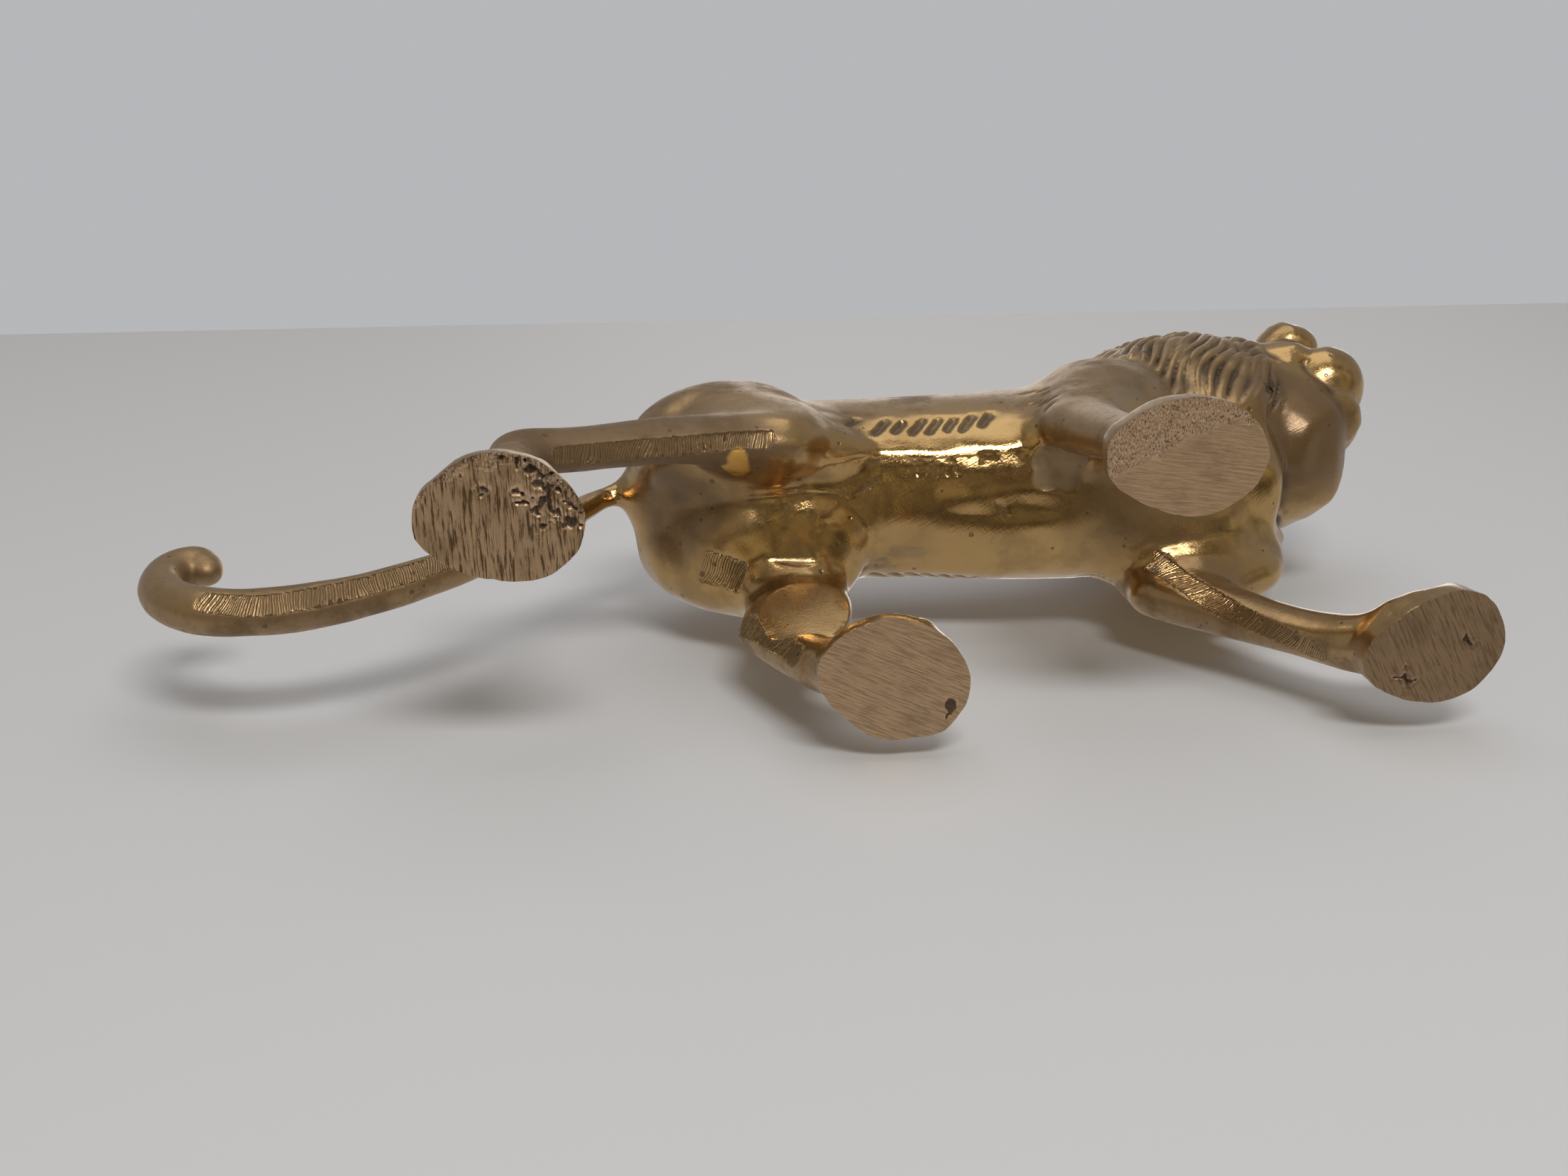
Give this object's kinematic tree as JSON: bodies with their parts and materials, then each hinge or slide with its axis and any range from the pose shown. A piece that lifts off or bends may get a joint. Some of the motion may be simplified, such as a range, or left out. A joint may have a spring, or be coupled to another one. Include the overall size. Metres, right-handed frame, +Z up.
{
  "type": "brass lion figurine",
  "caption": "Walking lion cast in one piece of solid brass, with a locked mane, a hooked tail and four soles ground flat.",
  "frame": {"origin": "on the floor, under the middle of the lion's box", "axes": "+X towards the head, +Y to the lion's left, +Z up"},
  "size_m": [0.293, 0.0738, 0.1332],
  "materials": {
    "brass": "polished, worn, darker in the hollows"
  },
  "bodies": {
    "root": {"lion": "brass"}
  },
  "joints": []
}
